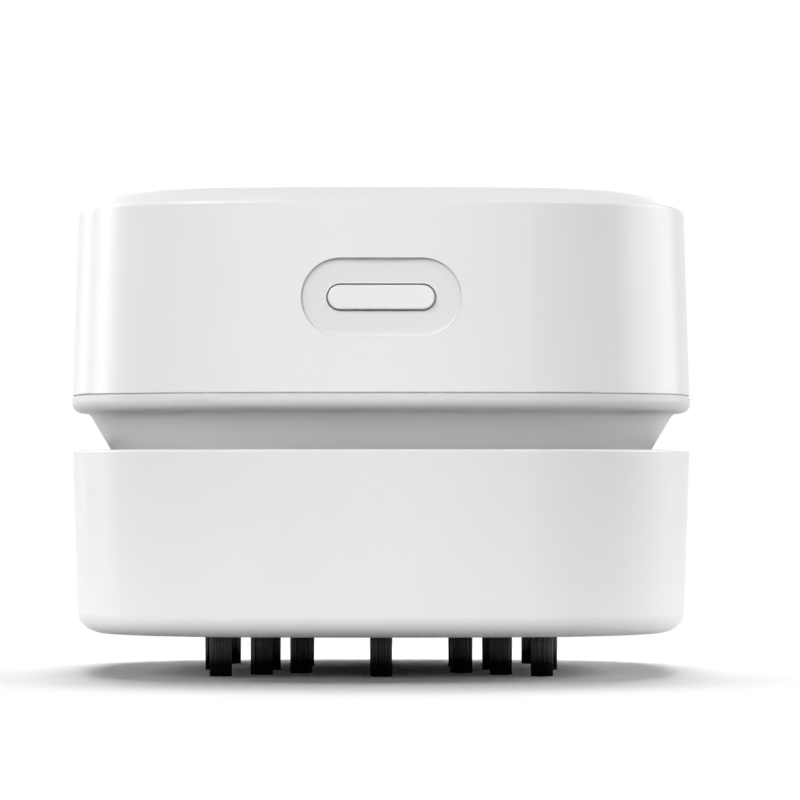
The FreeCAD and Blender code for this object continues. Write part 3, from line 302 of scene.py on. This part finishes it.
# A material, and the nodes that have it. The three rings of tufts are replaced by bristles further down.
DRESS = (
    (white_shell(), "upper_shell"),
    (plastic("white_cup", white(0.83), rough=0.38, **SATIN), "dust_cup"),
    # A darker copy of the shell's white on the housing: painted shade for its lip and the waist under it.
    (plastic("white_housing", white(0.745), rough=0.4), "chassis"),
    (plastic("white_button", white(0.85), rough=0.3, grain=0.002 * MM, Coat_Weight=0.2, Coat_Roughness=0.15),
     "power_button"),
    (plastic("white_brush_plate", white(0.82), rough=0.45), "brush_plate"),
    (plastic("white_inlet", white(0.78), rough=0.45), "inlet_tube"),
    (plastic("white_collar", white(0.78), rough=0.45), "bin_collar"),
    (plastic("white_inner", white(0.74), rough=0.5), "motor_plate", "motor_end_cap", "battery_bracket"),
    (plastic("grey_seal", (0.33, 0.33, 0.34), rough=0.65, grain=0.01 * MM), "seal_ring"),
    (plastic("grey_frame", (0.16, 0.165, 0.175), rough=0.5), "filter_frame"),
    (woven("filter_weave", (0.62, 0.62, 0.6), waves=318.4713), "filter_mesh"),
    (foam("filter_foam", (0.09, 0.09, 0.1), cell=0.8 * MM), "filter_sponge"),
    (metal("motor_zinc", (0.62, 0.62, 0.63), 0.32, lines=(1, 1, 12)), "motor_can"),
    (plastic("ferrite", (0.05, 0.05, 0.055), rough=0.6), "motor_magnets"),
    (metal("bushing_bronze", (0.58, 0.4, 0.2), 0.4), "front_bushing", "rear_bushing"),
    (metal("brush_copper", (0.75, 0.4, 0.22), 0.3), "motor_brushes", "commutator"),
    (metal("screw_zinc", (0.55, 0.55, 0.57), 0.3),
     "motor_screws", "chassis_screws", "board_screws", "charging_board_screws"),
    (metal("shaft_steel", (0.6, 0.6, 0.61), 0.2, lines=(1, 1, 0.1)), "motor_shaft"),
    (metal("laminated_steel", (0.3, 0.3, 0.31), 0.5, lines=(1, 1, 30)), "armature_core"),
    (metal("winding_copper", (0.6, 0.26, 0.12), 0.3, lines=(1, 1, 8)), "armature_windings"),
    (plastic("fan_black", (0.03, 0.03, 0.033), rough=0.4), "impeller"),
    (metal("battery_foil", (0.6, 0.62, 0.64), 0.4), "battery_cell"),
    (foam("black_foam", (0.03, 0.03, 0.03), cell=0.5 * MM), "battery_foam"),
    (circuit_green(), "circuit_board", "charging_board"),
    (plastic("component_black", (0.03, 0.03, 0.032), rough=0.45), "board_components"),
    (metal("socket_steel", (0.72, 0.72, 0.74), 0.22, lines=(1, 12, 1)), "charging_socket"),
    (plastic("switch_black", (0.04, 0.04, 0.042), rough=0.4), "tact_switch", "switch_plunger"),
    (plastic("lead_red", (0.45, 0.02, 0.02), rough=0.4), "battery_leads"),
    (plastic("lead_black", (0.02, 0.02, 0.02), rough=0.4), "motor_leads"),
    (plastic("lead_blue", (0.02, 0.06, 0.35), rough=0.4), "charging_leads"),
    (bristle, "inner_tufts", "middle_tufts", "corner_tufts"),
)


def dress_nodes():
    """Gives each CAD node its material."""
    for material, *names in DRESS:
        for name in names:
            slots = nodes[name].data.materials
            slots.clear()
            slots.append(material)


def mesh_object(name, verts, faces, material):
    """A new object in the scene, of one material."""
    mesh = bpy.data.meshes.new(name)
    mesh.from_pydata([tuple(vert) for vert in verts], [], faces)
    mesh.materials.append(material)
    made = bpy.data.objects.new(name, mesh)
    bpy.context.scene.collection.objects.link(made)
    return made


# ---------------------------------------------------------------- brush tufts

TUFT_RADIUS = 1.42 * MM
FILAMENTS = 62
RIM_FILAMENTS = 16
FILAMENT_RADIUS = 0.13 * MM
FILAMENT_SIDES = 6
FILAMENT_STEPS = 4
LEAN = 0.05 * MM
TIP_LIFTS = (0.0, 0.05 * MM, 0.1 * MM, 0.2 * MM, 0.3 * MM)
GOLDEN_ANGLE = math.pi * (3 - math.sqrt(5))
# Node, number of tufts in its ring, and the angle of the first one.
RINGS = (
    ("inner_tufts", 8, -math.pi / 2),
    ("middle_tufts", 8, -math.pi / 2),
    ("corner_tufts", 4, -math.pi / 4),
)


def outward(turn):
    """One unit away from the middle, at an angle from +X."""
    return Vector((math.cos(turn), math.sin(turn), 0))


def filament(centre, index, spin, top):
    """The points of one filament, tip first. A spiral gives its place in the tuft, and it leans a little."""
    share = min(1.0, math.sqrt((index + 0.5) / (FILAMENTS - RIM_FILAMENTS)))
    reach = TUFT_RADIUS - FILAMENT_RADIUS
    root = outward(spin + index * GOLDEN_ANGLE) * reach * share
    lean = Vector((random.gauss(0, LEAN), random.gauss(0, LEAN), 0))
    tip = random.choice(TIP_LIFTS) * random.random()
    points = []
    for step in range(FILAMENT_STEPS, -1, -1):
        down = step / FILAMENT_STEPS
        out = root + lean * down
        out *= min(1.0, reach / max(out.length, FILAMENT_RADIUS))
        points.append(centre + out + Vector((0, 0, top + (tip - top) * down)))
    return points


def add_rod(points, verts, faces):
    """Adds a thin round rod through the points, closed at both ends."""
    sides = FILAMENT_SIDES
    start = len(verts)
    ring = [outward(2 * math.pi * side / sides) * FILAMENT_RADIUS for side in range(sides)]
    verts.extend(point + offset for point in points for offset in ring)
    last = len(verts) - sides
    for low in range(start, last, sides):
        for side in range(sides):
            beside = (side + 1) % sides
            faces.append((low + side, low + beside, low + beside + sides, low + side + sides))
    faces.append(tuple(range(start + sides - 1, start - 1, -1)))
    faces.append(tuple(range(last, last + sides)))


def bristles(node, centres, top):
    """Bundles of filaments at the centres, from inside the brush plate down to the desk."""
    verts, faces = [], []
    for centre in centres:
        spin = random.uniform(0, 2 * math.pi)
        for index in range(FILAMENTS):
            add_rod(filament(centre, index, spin, top), verts, faces)
    made = mesh_object(node.replace("tufts", "bristles"), verts, faces, bristle)
    made.data.shade_smooth()
    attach(made, "cup")
    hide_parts(node)


def brush_tufts():
    """Three rings of tufts, placed by the CAD solids that they replace."""
    random.seed(7)
    for node, count, first in RINGS:
        turns = [first + 2 * math.pi * index / count for index in range(count)]
        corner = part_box(node)[1]
        ring = (corner.x - TUFT_RADIUS) / max(math.cos(turn) for turn in turns)
        bristles(node, [outward(turn) * ring for turn in turns], corner.z)


# ---------------------------------------------------------------- floor and room

FLOOR_HALF = 12.0
FLOOR_SEEN = (0.95, 0.95, 0.95, 1)
# What the floor throws back onto the object: a pale card's share near it, and nothing further off. The
# ends are the distances from the middle at which the one starts to give way to the other, and has done so.
NEAR_BOUNCE = (0.8, 0.8, 0.8, 1)
FAR_BOUNCE = (0.0, 0.0, 0.0, 1)
NEAR_ENDS = (0.062, 0.085)
# Where the floor with the shadow turns plain white. Along X it does so nearer, by the last number.
SHADOW_ENDS = (0.062, 0.1, 1.6)


def further(n, start, end, across=1.0):
    """0 nearer the middle of the floor than start, and 1 beyond end. Across shortens both along X."""
    scaled = n.add("ShaderNodeVectorMath", operation="MULTIPLY")
    n.feed(n.add("ShaderNodeNewGeometry").outputs["Position"], scaled.inputs[0])
    n.feed((across, 1, 1), scaled.inputs[1])
    distance = n.add("ShaderNodeVectorMath", operation="LENGTH")
    n.feed(scaled.outputs["Vector"], distance.inputs[0])
    return n.range(distance.outputs["Value"], 0.0, 1.0, start, end, steps="SMOOTHSTEP")


def floor_white():
    """A matt white near the object, where its shadow falls, that turns plain white further off."""
    material = bpy.data.materials.new("floor_white")
    material.use_nodes = True
    n = Nodes(material.node_tree)
    n.tree.nodes.clear()
    shown = n.plain_rays()
    bounce = n.mixed(further(n, *NEAR_ENDS), NEAR_BOUNCE, FAR_BOUNCE)
    matt = n.add("ShaderNodeBsdfDiffuse")
    n.feed(n.mixed(shown, bounce, FLOOR_SEEN), matt.inputs["Color"])
    plain = n.add("ShaderNodeEmission")
    either = n.add("ShaderNodeMixShader")
    n.feed(n.math("MULTIPLY", further(n, *SHADOW_ENDS), shown), either.inputs["Fac"])
    n.feed(matt.outputs["BSDF"], either.inputs[1])
    n.feed(plain.outputs["Emission"], either.inputs[2])
    out = n.add("ShaderNodeOutputMaterial")
    n.feed(either.outputs["Shader"], out.inputs["Surface"])
    return material


def floor():
    half = FLOOR_HALF
    corners = [(-half, -half, 0), (half, -half, 0), (half, half, 0), (-half, half, 0)]
    made = mesh_object("floor", corners, [(0, 1, 2, 3)], floor_white())
    return made


def room():
    """A white room that the camera, glossy surfaces and glass see, and that gives no light of its own."""
    made = bpy.data.worlds.new("studio")
    bpy.context.scene.world = made
    made.use_nodes = True
    n = Nodes(made.node_tree)
    back = n.tree.nodes["Background"]
    n.feed((1, 1, 1, 1), back.inputs["Color"])
    n.feed(n.plain_rays(), back.inputs["Strength"])


# ---------------------------------------------------------------- lights and camera

LIGHT_DISTANCE = 1.5
LIT_POINT = Vector((0, 0, 0.03))
# Soft lights: name, azimuth and elevation in degrees, width, height, radiance, and what they light.
LIGHTS = (
    ("key_left", -40, 32, 0.9, 0.6, 8.5, "object"),
    ("key_right", 40, 32, 0.9, 0.6, 3.1, "object"),
    ("key_low", 0, 10, 0.9, 0.6, 3.5, "object"),
    ("left", -115, 15, 0.4, 0.9, 6.2, "object"),
    ("left_back", -145, 15, 0.4, 0.9, 2.0, "object"),
    ("right", 95, 15, 0.6, 0.8, 4.3, "object"),
    ("right_back", 115, 15, 0.4, 0.9, 3.5, "object"),
    ("right_rim", 130, 15, 0.4, 0.9, 2.6, "object"),
    ("back", 180, 20, 0.9, 0.6, 3.5, "object"),
    ("floor_back", 180, 55, 1.0, 0.8, 4.8, "floor"),
    ("floor_top", 180, 70, 1.4, 0.6, 5.0, "floor"),
    ("floor_left", -108, 22, 0.7, 0.5, 5.5, "floor"),
    ("floor_right", 108, 22, 0.7, 0.5, 9.0, "floor"),
    ("floor_front", 0, 22, 0.9, 0.5, 2.6, "floor"),
)

CAMERA_DISTANCE = 0.640
CAMERA_HEIGHT = 0.0259
CAMERA_LENS = 221.2
CAMERA_SENSOR = 36.0
CAMERA_YAW = math.radians(0.218)
CAMERA_PITCH = math.radians(0.822)


def softbox(name, azimuth, elevation, width, height, radiance):
    """A soft light on a sphere round the object. Azimuth 0 is in front of it, 90 to its right."""
    turn, rise = math.radians(azimuth), math.radians(elevation)
    back = Vector((math.sin(turn) * math.cos(rise), -math.cos(turn) * math.cos(rise), math.sin(rise)))
    light = bpy.data.lights.new(name, "AREA")
    light.shape = "RECTANGLE"
    light.size = width
    light.size_y = height
    light.energy = radiance * math.pi * width * height
    made = bpy.data.objects.new(name, light)
    made.location = LIT_POINT + back * LIGHT_DISTANCE
    made.rotation_mode = "QUATERNION"
    made.rotation_quaternion = (-back).to_track_quat("-Z", "Y")
    bpy.context.scene.collection.objects.link(made)
    return made


def receivers(table):
    """What each kind of light falls on: the floor alone, or all but the floor."""
    kinds = {}
    for kind, state in (("floor", "INCLUDE"), ("object", "EXCLUDE")):
        group = bpy.data.collections.new(f"light_on_{kind}")
        group.objects.link(table)
        group.collection_objects[0].light_linking.link_state = state
        kinds[kind] = group
    return kinds


def lights(table):
    """Every soft light, on what it is meant for."""
    kinds = receivers(table)
    for *place, kind in LIGHTS:
        softbox(*place).light_linking.receiver_collection = kinds[kind]


def camera():
    """Level with the waist, far off with a long lens; turned a little to frame as the photograph does."""
    data = bpy.data.cameras.new("camera")
    data.lens = CAMERA_LENS
    data.sensor_width = CAMERA_SENSOR
    made = bpy.data.objects.new("camera", data)
    made.location = (0, -CAMERA_DISTANCE, CAMERA_HEIGHT)
    made.rotation_euler = Euler((math.pi / 2 + CAMERA_PITCH, 0, -CAMERA_YAW), "XYZ")
    bpy.context.scene.collection.objects.link(made)
    bpy.context.scene.camera = made


dress_nodes()
brush_tufts()
lights(floor())
room()
camera()
bpy.context.scene.view_settings.view_transform = "Standard"
